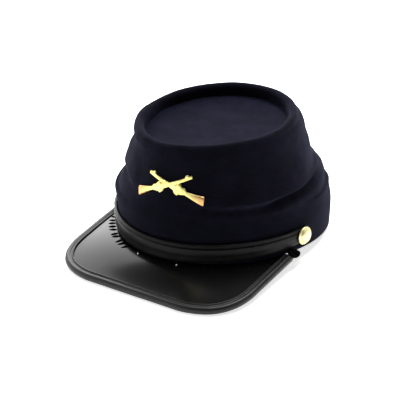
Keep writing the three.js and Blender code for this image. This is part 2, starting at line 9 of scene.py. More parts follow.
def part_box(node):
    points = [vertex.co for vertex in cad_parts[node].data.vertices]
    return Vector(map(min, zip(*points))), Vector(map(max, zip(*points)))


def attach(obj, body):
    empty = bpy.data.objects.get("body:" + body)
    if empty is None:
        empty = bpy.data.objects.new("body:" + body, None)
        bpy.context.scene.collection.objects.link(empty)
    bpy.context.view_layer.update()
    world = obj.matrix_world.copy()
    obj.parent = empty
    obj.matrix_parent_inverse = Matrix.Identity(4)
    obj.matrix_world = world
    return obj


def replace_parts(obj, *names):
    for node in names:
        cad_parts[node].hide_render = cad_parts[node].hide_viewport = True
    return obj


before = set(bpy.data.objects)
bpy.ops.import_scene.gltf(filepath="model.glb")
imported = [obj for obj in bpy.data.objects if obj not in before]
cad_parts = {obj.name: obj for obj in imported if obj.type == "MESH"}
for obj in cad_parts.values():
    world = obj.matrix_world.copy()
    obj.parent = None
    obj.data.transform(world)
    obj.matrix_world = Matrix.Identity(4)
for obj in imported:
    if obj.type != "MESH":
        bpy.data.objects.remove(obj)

MM = 0.001
UP = np.array([0, 0, 1.0])
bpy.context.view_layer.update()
SEAT_GAP = 0.3

# Band
BAND_LENGTH = 198
BAND_WIDTH = 171
BAND_HEIGHT = 34
BAND_WALL = 2.8
BAND_EDGE_ROUNDING = 0.8
BAND_TOP_MARGIN = 1
BAND_ROWS = 16
OVAL_TAPER = 0.05

# Crown
CLOTH_WALL = 2
TOP_LENGTH = 128
TOP_WIDTH = 109
TOP_FORWARD = 19
TOP_SIDE = 1.5
TOP_HEIGHT = 86
TOP_TILT = 6.8
TOP_SAG = 1.5
TOP_TUCK = 0.8
TOP_LOOPS = 144
TOP_RINGS = 40
TOP_HUB = 0.04
TOP_WAVE_FADE = 6
PUCKERS = 40
PUCKER_DEPTH = 0.25
PUCKER_FADE = 12
RECESS_DEPTH = 10
CREST_RADIUS = 4
CROWN_INSET = 0.5
CROWN_LOOPS = 288
SIDE_ROWS = 56
CREST_ROWS = 14
WALL_ROWS = 7
INSIDE_ROW_STEP = 3
FOLD_DEPTH = 8
FOLD_FADE_LOW = 0.06
FOLD_FADE_HIGH = 0.1
RUMPLE_UNDER_STRAP = 0.1

# Peak
PEAK_WIDTH = 163
PEAK_REACH = 35
PEAK_BOW = 4
PEAK_CORNER_RADIUS = 46
PEAK_SLOPE = 9
PEAK_BEND = 0.35
PEAK_THICKNESS = 3
PEAK_END_AZIMUTH = 69
PEAK_STATIONS = 180
PEAK_ROWS = 22
EDGE_SAMPLES = 200
CORNER_LIMIT = 0.8
EDGE_FRAME_REACH = 0.85
BINDING_WIDTH = 7
BINDING_HEIGHT = 6
BINDING_SKIN = 1.2
BINDING_END = 2.6
BINDING_CLEARANCE = 0.05
BINDING_SOLE = 0.3

# The binding's ends are closed over by loops at these angles of a dome, in degrees
BINDING_END_TURNS = (25, 45, 62, 76, 86)

# Chin strap
STRAP_WIDTH = 16.2
STRAP_THICKNESS = 2.4
STRAP_LIFT = 0.1
STRAP_SIDE_LIFT = 2.3
STRAP_NARROWING = 3.6
STRAP_TAIL = 5.5
STRAP_LOOPS = 220

# Side buttons
BUTTON_AZIMUTH = radians(78.3)
BUTTON_RADIUS = 7.3
BUTTON_HEIGHT = 4.2
BUTTON_RIM = 1.4
BUTTON_LOOPS = 64
DOME_SHARES = (0.04, 0.98)
DOME_ROWS = 18

# Badge. RIFLE_EDGE is the thickness at a rifle's edges as a share of the whole, and the stock
# stands STOCK_STEP higher from the butt to STOCK_FRONT.
RIFLE_LENGTH = 61.5
RIFLE_STOCK = 8.4
RIFLE_ANGLE = radians(14)
RIFLE_MIDDLE = 0.59
BADGE_AZIMUTH = radians(5)
BADGE_LEVEL = 0.515
BADGE_TURN = radians(2)
BADGE_THICKNESS = 1.2
BADGE_RELIEF = 0.5
RIFLE_EDGE = 0.45
RIFLE_ROUNDING = 7
RIFLE_LOOPS = 200
RIFLE_COLUMNS = 13
STOCK_STEP = 0.1
STOCK_FRONT = 0.5
STOCK_EASE = 0.08
CROWN_STEP = 0.01

# Stitches. SEAM_HIDDEN is the stretch in front, in degrees, where no stitch shows. KNOT_SIZE is
# half a knot's size along the band, out and up, and KNOT_TURNS how often its thread goes round and
# across.
THREAD_RADIUS = 0.55
THREAD_SIDES = 8
THREAD_TAPER = 0.12
ACROSS_NO_THREAD = (0.31, 0.17, 0.94)
STITCH_SPACING = 6.5
STITCH_LENGTH = 6.2
STITCH_LEAN = 0.025
STITCH_JITTER = 0.16
LEAN_JITTER = 0.8
STITCH_START = 0.4
STITCH_TIP = 0.3
STITCH_POINTS = 9
SEAM_MARGIN = 0.1
SEAM_HIDDEN = (-19, 24)
# Azimuths of the two short threads painted white as glints on the seam
THREAD_ENDS = (-11.4, 12.5)
THREAD_END_LENGTH = 1.6
THREAD_END_TURN = 0.006
THREAD_END_POINTS = 5
KNOT_AZIMUTH = 71.4
KNOT_OUTSET = 4.6
KNOT_LEVEL = 0.5
KNOT_SIZE = (3.96, 3.6, 2.6)
KNOT_TURNS = (7, 4)
KNOT_CLOSING = 0.8
KNOT_POINTS = 260

# Smooth waves in the surfaces: the depth, the size of their features and a seed
CLOTH_WAVES = ((0.9, 26, 3.0), (0.27, 9, 3.0))
TOP_WAVES = ((0.5, 18, 9.0),)
BINDING_WAVES = ((0.12, 9, 5.0),)
STRAP_WAVES = ((0.35, 22, 2.0), (0.12, 6, 4.0))
KNOT_WAVES = ((0.12, 1.5, 11.0),)
KNOT_WAVE_STRETCH = 3

# The crown's side: its spread from the band (0) to the crest (1), at shares of its height
CROWN_SECTIONS = {
    "height": (0.0, 0.12, 0.3, 0.5, 0.7, 0.85, 0.94, 1.0),
    "spread": (0.0, 0.05, 0.25, 0.49, 0.7, 0.78, 0.89, 1.0),
}

# Each fold is a ridge through stations of (azimuth, level, out, down): level is its share of the
# crown's height there, and out and down are its size as shares of FOLD_DEPTH. reach is its half
# height as a share of the crown's height.
LEVEL_COLUMN = 1
OUT_COLUMN = 2
DOWN_COLUMN = 3
CROWN_FOLDS = (
    # the neck under the crest
    {"reach": 0.12, "stations": (
        (-120, 0.86, -0.5, 0), (-59, 0.84, -0.5, 0), (0, 0.86, 0, 0),
        (60, 0.84, -0.1, 0), (121, 0.8, -0.2, 0), (180, 0.8, -0.8, 0))},
    # the upper roll
    {"reach": 0.13, "stations": (
        (-120, 0.56, -0.2, 0.5), (-59, 0.55, -0.05, 0), (0, 0.4, 0, 0), (50, 0.34, 0.3, 0.4),
        (75, 0.42, 0.5, 0.65), (121, 0.53, -0.2, 0.8), (180, 0.52, -0.45, 0.7))},
    # the waist between the rolls
    {"reach": 0.08, "stations": (
        (-120, 0.34, -0.5, 0), (-59, 0.3, -0.7, 0), (0, 0.2, 0, 0), (50, 0.14, -0.3, 0),
        (75, 0.22, -0.7, 0), (121, 0.31, -0.8, 0), (180, 0.37, -0.4, 0))},
    # the lower roll over the band
    {"reach": 0.12, "stations": (
        (-120, 0.1, 0.4, 0.1), (-59, 0.1, -0.3, 0.45), (0, 0.1, 0, 0),
        (60, 0.06, 0.1, 0), (121, 0.11, -0.4, 0.3), (180, 0.08, 0.2, 0.1))},
)

# The cloth leans a little over the top of the band: how far (to the wearer's left, to the back),
# so here to the right and the front, at what height and over what reach
SWAY = (-2.5, -0.8)
SWAY_HEIGHT = 33
SWAY_REACH = 9

# The crest stands a little higher in front: how much, at which azimuth most, how narrowly round it,
# and from which share of the crown's height up
CREST_LIFT = 2.2
CREST_LIFT_AZIMUTH = radians(36)
CREST_LIFT_NARROWNESS = 4
CREST_LIFT_START = 0.8

# A rifle from butt (along 0) to muzzle (along 1): its back and its trigger side as shares of the
# stock's height
RIFLE_BACK = (
    (0.0, 0.4), (0.09, 0.31), (0.18, 0.23), (0.28, 0.16), (0.31, 0.34), (0.37, 0.34),
    (0.39, 0.47), (0.43, 0.5), (0.47, 0.27), (0.55, 0.19), (0.66, 0.15), (0.77, 0.13),
    (0.88, 0.13), (0.895, 0.3), (0.935, 0.3), (0.955, 0.14), (1.0, 0.12),
)
RIFLE_FRONT = (
    (0.0, -0.42), (0.1, -0.3), (0.21, -0.18), (0.3, -0.14), (0.36, -0.28), (0.4, -0.34),
    (0.42, -0.5), (0.47, -0.42), (0.5, -0.22), (0.58, -0.18), (0.68, -0.15), (0.79, -0.14),
    (0.9, -0.13), (1.0, -0.12),
)

# Flat-topped raised parts of a rifle: (place along it, half length, height) for two barrel bands
# and the lock
RIFLE_STEPS = ((0.62, 0.008, 0.2), (0.78, 0.008, 0.2), (0.4, 0.07, 0.15))

# The inner lip of the binding, a thin ridge and a groove: (out from the inner edge, down from the
# top), then its lower lip: (out, up from the underside)
BINDING_LIP = (
    (-0.05, 0.7), (0.25, 0.25), (0.7, 0.1), (1.15, 0.3), (1.4, 0.8), (1.6, 1.0), (1.85, 0.75),
)
BINDING_LOWER_LIP = (0.6, 0.5)
BINDING_LOWER_EDGE = 0.3

# The binding's roll: its middle and radius as shares of the binding's width, its height as a share
# of the binding's half height, and its turn in degrees
ROLL_MIDDLE = 0.37
ROLL_RADIUS = 0.4085
ROLL_HEIGHT = 1.02
ROLL_TURN = (142, -150)
ROLL_POINTS = 22

# The strap's outer face from its lower edge up: (share of its width, share of its thickness)
STRAP_FACE = (
    (0.0, 0.35), (0.02, 0.55), (0.06, 0.68), (0.15, 0.76), (0.28, 0.84), (0.38, 0.9),
    (0.42, 0.98), (0.5, 1.02), (0.62, 1.03), (0.72, 1.0), (0.765, 0.92), (0.785, 0.66),
    (0.805, 0.64), (0.825, 0.94), (0.86, 1.05), (0.9, 1.0), (0.925, 0.93), (0.94, 1.03),
    (0.955, 1.1), (0.975, 1.1), (0.99, 0.98), (1.0, 0.8), (1.0, 0.5),
)

# A button's back and rim from its middle out and up to the foot of its dome: (share of its radius,
# share of the rim's height)
BUTTON_PROFILE = (
    (0.02, 0.0), (0.9, 0.0), (0.97, 0.1), (1.0, 0.35), (0.985, 0.75), (0.95, 0.95),
    (0.91, 0.93), (0.88, 0.86),
)

random.seed(7)


# Plan ovals


def oval(azimuth, half_length, half_width, taper):
    """Points of an oval and their outward normals, in plan."""
    s, c = np.sin(azimuth), np.cos(azimuth)
    point = np.stack([half_width * s * (1 - taper * c), -half_length * c], -1)
    dx = half_width * (c * (1 - taper * c) + taper * s * s)
    dy = half_length * s
    normal = np.stack([dy, -dx], -1) / np.hypot(dx, dy)[..., None]
    return point, normal


def band_plan(azimuth, outset):
    """Points in plan at an outset from the band's outer face."""
    point, normal = oval(np.asarray(azimuth, float), BAND_LENGTH / 2, BAND_WIDTH / 2, OVAL_TAPER)
    return point + normal * np.asarray(outset, float)[..., None]


def band_normal(azimuth):
    """The ways out of the band in plan."""
    return oval(np.asarray(azimuth, float), BAND_LENGTH / 2, BAND_WIDTH / 2, OVAL_TAPER)[1]


def upright(plan, height):
    """Plan points lifted to their heights."""
    height = np.broadcast_to(height, plan.shape[:-1])
    return np.concatenate([plan, height[..., None]], -1)


def top_point(azimuth, outset, height):
    """Points over the sunken top: its oval grown by an outset, at a height above the top."""
    point, normal = oval(np.asarray(azimuth, float), TOP_LENGTH / 2, TOP_WIDTH / 2, 0)
    plan = point + normal * np.asarray(outset, float)[..., None]
    tilt = radians(TOP_TILT)
    return np.stack([
        TOP_SIDE + plan[..., 0],
        -TOP_FORWARD + plan[..., 1] * cos(tilt) - height * sin(tilt),
        TOP_HEIGHT + plan[..., 1] * sin(tilt) + height * cos(tilt),
    ], -1)


# Smooth curves through tables


def smooth_rows(keys, values, at):
    """A smooth curve through the values at sorted keys."""
    keys, values = np.array(keys, float), np.array(values, float)
    last = len(keys) - 1
    i = np.clip(np.searchsorted(keys, at, side="left") - 1, 0, last - 1)
    low, high = np.maximum(np.arange(last + 1) - 1, 0), np.minimum(np.arange(last + 1) + 1, last)
    slopes = (values[high] - values[low]) / (keys[high] - keys[low])
    span = keys[i + 1] - keys[i]
    t = np.clip((at - keys[i]) / span, 0, 1)
    return (
        (2 * t**3 - 3 * t**2 + 1) * values[i]
        + (t**3 - 2 * t**2 + t) * slopes[i] * span
        + (3 * t**2 - 2 * t**3) * values[i + 1]
        + (t**3 - t**2) * slopes[i + 1] * span
    )


def around(stations, column, azimuth):
    """A smooth closed curve through one column of stations round the cap."""
    table = np.array(stations, float)
    first = table[0, 0]
    at = first + np.mod(np.degrees(azimuth) - first, 360)
    i = np.clip(np.searchsorted(table[:, 0], at, side="right") - 1, 0, len(table) - 1)
    following = (i + 1) % len(table)
    end = np.where(following == 0, table[0, 0] + 360, table[following, 0])
    t = (at - table[i, 0]) / (end - table[i, 0])
    ease = (1 - np.cos(pi * t)) / 2
    return table[i, column] * (1 - ease) + table[following, column] * ease


# Crown


def crown_side(azimuth, share):
    """The crown's outer face at shares of its height, with its folds."""
    foot = upright(band_plan(azimuth, -CROWN_INSET), BAND_HEIGHT + SEAT_GAP)
    crest = top_point(azimuth, 2 * CREST_RADIUS, RECESS_DEPTH - CREST_RADIUS)
    spread = smooth_rows(CROWN_SECTIONS["height"], CROWN_SECTIONS["spread"], share)
    point = foot + (crest - foot) * np.stack([spread, spread, share], -1)
    normal = band_normal(azimuth)
    held = np.minimum(1, np.minimum(share / FOLD_FADE_LOW, (1 - share) / FOLD_FADE_HIGH))
    for fold in CROWN_FOLDS:
        level = around(fold["stations"], LEVEL_COLUMN, azimuth)
        strength = FOLD_DEPTH * held * np.exp(-(((share - level) / fold["reach"]) ** 2))
        out = strength * around(fold["stations"], OUT_COLUMN, azimuth)
        point[..., :2] += normal * out[..., None]
        point[..., 2] -= strength * around(fold["stations"], DOWN_COLUMN, azimuth)
    return point


def wander(point, size, seed):
    """Smooth noise from -1 to 1 at a point, with features of that size."""
    return noise.noise(Vector(point) / size + Vector((seed, -seed, 0.5 * seed)))


def waves(point, table):
    """The height of several smooth waves at a point."""
    return sum(depth * wander(point, size, seed) for depth, size, seed in table)


def surface_normals(grid, closed):
    """Unit normals of a grid of points (round, up), closed round the first way or not."""
    if closed:
        across = np.roll(grid, -1, 0) - np.roll(grid, 1, 0)
    else:
        across = np.gradient(grid, axis=0)
    along = np.gradient(grid, axis=1)
    normal = np.cross(across, along)
    return normal / np.linalg.norm(normal, axis=-1, keepdims=True)


# Placing: the cap rests on the peak's front edge and the back of the band


def rest_tilt():
    """The angle between the band's lower edge and the floor."""
    front = peak_edge_frame(PEAK_STATIONS // 2)
    sole = front["edge"] - front["up"] * BINDING_HEIGHT / 2
    sole -= front["out"] * BINDING_WIDTH * BINDING_SOLE
    back = BAND_LENGTH / 2 - BAND_EDGE_ROUNDING
    return atan2(-sole[2], back - sole[1])


def placing():
    """The matrix from the cap's own frame, in millimetres, to the row's frame."""
    turn = Matrix.Rotation(-rest_tilt(), 4, "X")
    low, high = (Vector(corner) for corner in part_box("band"))
    middle = (low + high) / 2
    centre = turn @ Vector((0, 0, BAND_HEIGHT / 2)) * MM
    return Matrix.Translation(middle - centre) @ turn @ Matrix.Scale(MM, 4)


# Peak outline


def quadratic(a, b, c, t):
    """Points of a curve from a to c that b draws out."""
    return (1 - t) ** 2 * a + 2 * t * (1 - t) * b + t**2 * c


def peak_edge():
    """The peak's edge in plan, evenly spaced from the wearer's right to the left."""
    end = band_plan(radians(PEAK_END_AZIMUTH), BINDING_WIDTH + 2 * SEAT_GAP)
    front_y = -BAND_LENGTH / 2 - PEAK_REACH
    corner = np.array([PEAK_WIDTH / 2, front_y + PEAK_BOW])
    front = np.array([0.0, front_y])
    side = end - corner
    side_length = np.linalg.norm(side)
    side /= side_length
    inward = np.array([-1.0, -2 * PEAK_BOW / corner[0]])
    inward /= np.linalg.norm(inward)
    turn = pi - np.arccos(np.clip(side @ inward, -1, 1))
    longest = CORNER_LIMIT * min(corner[0], side_length)
    cut = min(PEAK_CORNER_RADIUS * tan(turn / 2), longest)
    t = np.linspace(0, 1, EDGE_SAMPLES)[:, None]
    bend_start = corner + side * cut
    bend_end = corner + inward * cut
    half = np.concatenate([
        end + (bend_start - end) * t,
        quadratic(bend_start, corner, bend_end, t)[1:],
        quadratic(bend_end, np.array([bend_end[0] / 2, front_y]), front, t)[1:],
    ])
    whole = np.concatenate([half * (-1, 1), half[-2::-1]])
    run = np.concatenate([[0], np.cumsum(np.linalg.norm(np.diff(whole, axis=0), axis=1))])
    even = np.linspace(0, run[-1], PEAK_STATIONS + 1)
    return np.stack([np.interp(even, run, whole[:, k]) for k in (0, 1)], -1)


PEAK_EDGE = peak_edge()


def peak_middle(station, reach):
    """The peak's middle surface from the seam under the band (reach 0) to its edge (1)."""
    station = np.asarray(station)
    azimuth = radians(PEAK_END_AZIMUTH) * (2 * station / PEAK_STATIONS - 1)
    seam = band_plan(azimuth, BAND_EDGE_ROUNDING - BAND_WALL)
    edge = PEAK_EDGE[station]
    reach = np.asarray(reach, float)
    plan = seam + (edge - seam) * reach[..., None]
    fall = tan(radians(PEAK_SLOPE)) * (PEAK_EDGE[0, 1] - edge[..., 1])
    bent = reach**2 * (3 - 2 * reach) * PEAK_BEND + reach * (1 - PEAK_BEND)
    return upright(plan, -SEAT_GAP - PEAK_THICKNESS / 2 - fall * bent)


def peak_edge_frame(station):
    """At a station of the peak's edge: the edge, the way out across it and the way up."""
    edge = peak_middle(station, 1)
    after, before = min(station + 1, PEAK_STATIONS), max(station - 1, 0)
    along = peak_middle(after, 1) - peak_middle(before, 1)
    along /= np.linalg.norm(along)
    out = edge - peak_middle(station, EDGE_FRAME_REACH)
    out -= along * (out @ along)
    out /= np.linalg.norm(out)
    up = np.cross(out, along)
    return {"edge": edge, "out": out, "up": up if up[2] > 0 else -up}


PLACE = placing()


def place(points):
    """Points of the cap's own frame in the row's frame."""
    matrix = np.array(PLACE)
    return points @ matrix[:3, :3].T + matrix[:3, 3]


# Meshes


def add_piece(name, points, faces, material, uv=None):
    """A piece from points in the cap's frame, riding on the part's one body."""
    mesh = bpy.data.meshes.new(name)
    mesh.from_pydata(place(np.asarray(points, float)).tolist(), [], faces)
    if uv is not None:
        layer = mesh.uv_layers.new(name="cloth")
        corners = np.empty(len(mesh.loops), int)
        mesh.loops.foreach_get("vertex_index", corners)
        layer.data.foreach_set("uv", np.asarray(uv, float)[corners].ravel())
    mesh.validate()
    piece = bpy.data.objects.new(name, mesh)
    bpy.context.scene.collection.objects.link(piece)
    mesh.materials.append(material)
    outward(mesh)
    mesh.shade_smooth()
    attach(piece, "root")
    return piece


def outward(mesh):
    """Turns a closed mesh so that its faces look outward."""
    mesh.calc_loop_triangles()
    total = 0.0
    for triangle in mesh.loop_triangles:
        a, b, c = (mesh.vertices[i].co for i in triangle.vertices)
        total += a.dot(b.cross(c))
    if total < 0:
        mesh.flip_normals()


def loft_faces(loops, points, closed):
    """Faces between loops of equal length, joined round or capped at both ends."""
    faces = []
    for i in range(loops if closed else loops - 1):
        a, b = i * points, ((i + 1) % loops) * points
        for j in range(points):
            k = (j + 1) % points
            faces.append((a + j, a + k, b + k, b + j))
    if not closed:
        faces.append(tuple(range(points))[::-1])
        faces.append(tuple((loops - 1) * points + j for j in range(points)))
    return faces


def add_loft(name, loops, closed, material, uv=None):
    """A piece through loops of points, joined round or capped at both ends."""
    loops = np.asarray(loops, float)
    faces = loft_faces(loops.shape[0], loops.shape[1], closed)
    flat_uv = None if uv is None else np.asarray(uv).reshape(-1, 2)
    return add_piece(name, loops.reshape(-1, 3), faces, material, flat_uv)


def add_spun(name, loops, pole, material, flat_uv=False):
    """A closed piece from sections that all run from one pole of an axis to the other. The
    sections close on themselves, except for the step after row `pole`, where the poles are."""
    n, m = loops.shape[:2]
    points = list(loops.reshape(-1, 3))
    faces = []
    for i in range(n):
        a, b = i * m, ((i + 1) % n) * m
        for j in range(m):
            k = (j + 1) % m
            if j != pole:
                faces.append((a + j, a + k, b + k, b + j))
    for row, after in ((pole, 0), ((pole + 1) % m, 1)):
        middle = len(points)
        points.append(loops[:, row].mean(0))
        for i in range(n):
            a, b = i * m + row, ((i + 1) % n) * m + row
            faces.append((a, b, middle) if after else (b, a, middle))
    uv = np.array(points)[:, :2] if flat_uv else None
    return add_piece(name, points, faces, material, uv)


def add_tubes(name, paths, radius, material):
    """One piece of several round threads, each tapered to a closed tip at both ends."""
    points, faces = [], []
    turns = np.linspace(0, 2 * pi, THREAD_SIDES, endpoint=False)
    for path in paths:
        path = np.asarray(path, float)
        tangent = np.gradient(path, axis=0)
        tangent /= np.linalg.norm(tangent, axis=1, keepdims=True)
        side = np.cross(tangent, ACROSS_NO_THREAD)
        side /= np.linalg.norm(side, axis=1, keepdims=True)
        other = np.cross(tangent, side)
        width = radius * np.sqrt(np.sin(np.linspace(THREAD_TAPER, pi - THREAD_TAPER, len(path))))
        ring = np.cos(turns)[None, :, None] * side[:, None]
        ring = ring + np.sin(turns)[None, :, None] * other[:, None]
        start = len(points)
        points.extend((path[:, None] + ring * width[:, None, None]).reshape(-1, 3))
        faces.extend(
            tuple(start + corner for corner in face)
            for face in loft_faces(len(path), THREAD_SIDES, False)
        )
    return add_piece(name, points, faces, material)


# Materials


# The colour sockets of a mix node by their places, as several share a name
MIX_FACTOR = 0
MIX_BASE = 6
MIX_OVER = 7
MIX_RESULT = 2


class Nodes:
    """A material's node tree, built from the shader back."""

    def __init__(self, name, **inputs):
        self.material = bpy.data.materials.new(name)
        self.material.use_nodes = True
        self.tree = self.material.node_tree
        self.shader = self.tree.nodes["Principled BSDF"]
        for key, value in inputs.items():
            self.shader.inputs[key.replace("_", " ")].default_value = value

    def add(self, kind, links=None, values=None, **settings):
        """A node with its settings, its values and what its inputs are linked to."""
        node = self.tree.nodes.new(kind)
        for key, value in settings.items():
            setattr(node, key, value)
        for key, value in (values or {}).items():
            node.inputs[key].default_value = value
        for key, source in (links or {}).items():
            self.tree.links.new(source, node.inputs[key])
        return node

    def link(self, source, socket):
        """Leads an output to one of the shader's sockets."""
        self.tree.links.new(source, self.shader.inputs[socket])

    def coordinates(self, kind, scale=(1, 1, 1)):
        """The piece's own coordinates of a kind, stretched by a scale."""
        source = self.add("ShaderNodeTexCoord").outputs[kind]
        return self.add("ShaderNodeMapping", {"Vector": source}, {"Scale": scale}).outputs["Vector"]

    def noise(self, vector, scale, detail, roughness):
        """Cloudy noise from 0 to 1."""
        values = {"Scale": scale, "Detail": detail, "Roughness": roughness}
        return self.add("ShaderNodeTexNoise", {"Vector": vector}, values).outputs["Fac"]

    def ramp(self, factor, *stops):
        """A colour that runs through stops of (position, colour) with a factor."""
        node = self.add("ShaderNodeValToRGB", {"Fac": factor})
        elements = node.color_ramp.elements
        while len(elements) < len(stops):
            elements.new(0.5)
        for element, (position, color) in zip(elements, stops):
            element.position = position
            element.color = (*color, 1)
        return node.outputs["Color"]

    def mix(self, factor, base, over):
        """The base colour, with another laid over it by a factor."""
        node = self.add("ShaderNodeMix", data_type="RGBA")
        self.tree.links.new(factor, node.inputs[MIX_FACTOR])
        self.tree.links.new(base, node.inputs[MIX_BASE])
        node.inputs[MIX_OVER].default_value = (*over, 1)
        return node.outputs[MIX_RESULT]

    def math(self, operation, a, b):
        """One calculation with two outputs or numbers."""
        node = self.add("ShaderNodeMath", operation=operation)
        for i, value in enumerate((a, b)):
            if isinstance(value, (int, float)):
                node.inputs[i].default_value = value
            else:
                self.tree.links.new(value, node.inputs[i])
        return node.outputs["Value"]

    def spread(self, factor, low, high):
        """A factor from 0 to 1 spread from low to high."""
        values = {"To Min": low, "To Max": high}
        return self.add("ShaderNodeMapRange", {"Value": factor}, values).outputs["Result"]

    def bump(self, height, distance, strength, under=None):
        """A relief from heights, laid over the one under it."""
        links = {"Height": height}
        if under is not None:
            links["Normal"] = under
        values = {"Distance": distance, "Strength": strength}
        return self.add("ShaderNodeBump", links, values).outputs["Normal"]


def grey(value):
    """A colour of three equal shares."""
    return (value, value, value)


def wool_material(name, dark, light, lint):
    """Felted navy wool: a fine cross weave under a short brushed nap, with paler flecks of lint."""
    wool = Nodes(
        name, Roughness=0.95, Sheen_Weight=0.07, Sheen_Roughness=0.4,
        Sheen_Tint=(0.42, 0.42, 0.85, 1), Specular_IOR_Level=0.05,
    )
    cloth = wool.coordinates("UV")
    body = wool.coordinates("Object")
    brushed = wool.coordinates("UV", scale=(0.12, 0.6, 1))
    nap = wool.noise(brushed, scale=1.0, detail=6, roughness=0.75)
    blotches = wool.noise(body, scale=55, detail=3, roughness=0.5)
    shade = wool.math("ADD", wool.math("MULTIPLY", blotches, 0.4), wool.math("MULTIPLY", nap, 0.6))
    strewn = wool.coordinates("UV", scale=(0.3, 1.5, 1))
    flecks = wool.noise(strewn, scale=0.9, detail=2, roughness=0.5)
    share = wool.ramp(flecks, (0.66, grey(0.0)), (0.78, grey(0.6)))
    color = wool.mix(share, wool.ramp(shade, (0.38, dark), (0.62, light)), lint)
    wool.link(color, "Base Color")
    warp = wool.add(
        "ShaderNodeTexWave", {"Vector": cloth}, {"Scale": 0.42, "Distortion": 1.6, "Detail": 2},
        bands_direction="X",
    ).outputs["Fac"]
    weft = wool.add(
        "ShaderNodeTexWave", {"Vector": cloth}, {"Scale": 0.5, "Distortion": 2.2, "Detail": 2},
        bands_direction="Y",
    ).outputs["Fac"]
    weave = wool.math("ADD", wool.math("MULTIPLY", warp, 0.5), weft)
    under = wool.bump(weave, distance=0.12 * MM, strength=0.6)
    combed = wool.coordinates("UV", scale=(0.6, 1.5, 1))
    fuzz = wool.noise(combed, scale=2.2, detail=6, roughness=0.75)
    wool.link(wool.bump(fuzz, distance=0.4 * MM, strength=0.7, under=under), "Normal")
    return wool.material


# Leather: how much paler its rubbed patches are, and how far its polish varies both ways
LEATHER_RUBBED = 2.2
LEATHER_POLISH = 0.06
LEATHER_WEAR = 0.1


def leather_material(name, shade, roughness, grain_size, grain_depth, shine, coat):
    """Black leather: a pebbled grain, soft rubbed patches and a polish that varies."""
    leather = Nodes(
        name, Specular_IOR_Level=shine, Coat_Weight=coat, Coat_Roughness=0.16, Coat_IOR=1.25,
    )
    body = leather.coordinates("Object")
    patches = leather.noise(body, scale=28, detail=4, roughness=0.55)
    rubbed = shade * LEATHER_RUBBED
    leather.link(leather.ramp(patches, (0.3, grey(shade)), (0.75, grey(rubbed))), "Base Color")
    smoothest, roughest = roughness - LEATHER_POLISH, roughness + LEATHER_WEAR
    leather.link(leather.spread(patches, smoothest, roughest), "Roughness")
    cells = leather.add(
        "ShaderNodeTexVoronoi", {"Vector": body}, {"Scale": 1 / (grain_size * MM)},
        feature="SMOOTH_F1",
    ).outputs["Distance"]
    under = leather.bump(cells, distance=grain_depth * MM, strength=0.5)
    creases = leather.noise(body, scale=320, detail=5, roughness=0.65)
    crease_depth = 0.5 * grain_depth * MM
    leather.link(leather.bump(creases, distance=crease_depth, strength=0.5, under=under), "Normal")
    return leather.material


# Brass: how much rougher its rubbed parts are, and how far its tarnish strays along the piece
BRASS_WEAR = 0.16
TARNISH_SPOTS = 0.16


def brass_material(name, bright, worn, roughness, tarnish=None):
    """Polished brass: pale where rubbed, warmer where not, with fine scratches. Tarnish colours
    the piece where its U coordinate starts."""
    brass = Nodes(name, Metallic=1.0, Coat_Weight=0.0)
    body = brass.coordinates("Object")
    patches = brass.noise(body, scale=120, detail=3, roughness=0.5)
    color = brass.ramp(patches, (0.35, worn), (0.65, bright))
    if tarnish:
        along = brass.add("ShaderNodeSeparateXYZ", {"Vector": brass.coordinates("UV")}).outputs["X"]
        spots = brass.math("ADD", along, brass.math("MULTIPLY", patches, TARNISH_SPOTS))
        share = brass.ramp(spots, (0.15, grey(0.9)), (0.3, grey(0.0)))
        color = brass.mix(share, color, tarnish)
    brass.link(color, "Base Color")
    rubbing = brass.noise(body, scale=300, detail=3, roughness=0.6)
    brass.link(brass.spread(rubbing, roughness, roughness + BRASS_WEAR), "Roughness")
    dents = brass.noise(body, scale=190, detail=2, roughness=0.5)
    drawn_out = brass.coordinates("Object", scale=(1, 9, 2))
    scratches = brass.noise(drawn_out, scale=260, detail=3, roughness=0.6)
    under = brass.bump(dents, distance=0.12 * MM, strength=0.3)
    brass.link(brass.bump(scratches, distance=0.02 * MM, strength=0.25, under=under), "Normal")
    return brass.material


def thread_material(name, shade, pale_shade):
    """Dull sewing thread with pale fibres."""
    thread = Nodes(name, Roughness=0.9, Specular_IOR_Level=0.03)
    fibres = thread.noise(thread.coordinates("Object"), scale=900, detail=3, roughness=0.7)
    thread.link(thread.ramp(fibres, (0.3, grey(shade)), (0.7, grey(pale_shade))), "Base Color")
    thread.link(thread.bump(fibres, distance=0.1 * MM, strength=0.6), "Normal")
    return thread.material


WOOL = wool_material(
    "navy_wool",
    dark=(0.0014, 0.0014, 0.0034), light=(0.0042, 0.004, 0.009), lint=(0.008, 0.008, 0.015),
)
# The top disc is the crown's own navy wool, painted paler and bluer than the side and with brighter
# lint flecks: painted light for the light and sheen the top catches from above. The lint is real,
# but its extra brightness is painted.
TOP_WOOL_PAINTED_LIT = wool_material(
    "navy_wool_top_painted_lit",
    dark=(0.0014, 0.0014, 0.0048), light=(0.006, 0.006, 0.015), lint=(0.034, 0.034, 0.055),
)
PLATE_LEATHER = leather_material(
    "peak_leather",
    shade=0.002, roughness=0.34, grain_size=1.4, grain_depth=0.03, shine=0.0, coat=1.0,
)
BINDING_LEATHER = leather_material(
    "binding_leather",
    shade=0.004, roughness=0.42, grain_size=1.1, grain_depth=0.25, shine=0.3, coat=0.05,
)
STRAP_LEATHER = leather_material(
    "strap_leather",
    shade=0.002, roughness=0.36, grain_size=1.1, grain_depth=0.06, shine=0.11, coat=0.02,
)
BADGE_BRASS = brass_material(
    "badge_brass",
    bright=(1.0, 0.93, 0.36), worn=(1.0, 0.84, 0.28), roughness=0.34, tarnish=(0.78, 0.42, 0.17),
)
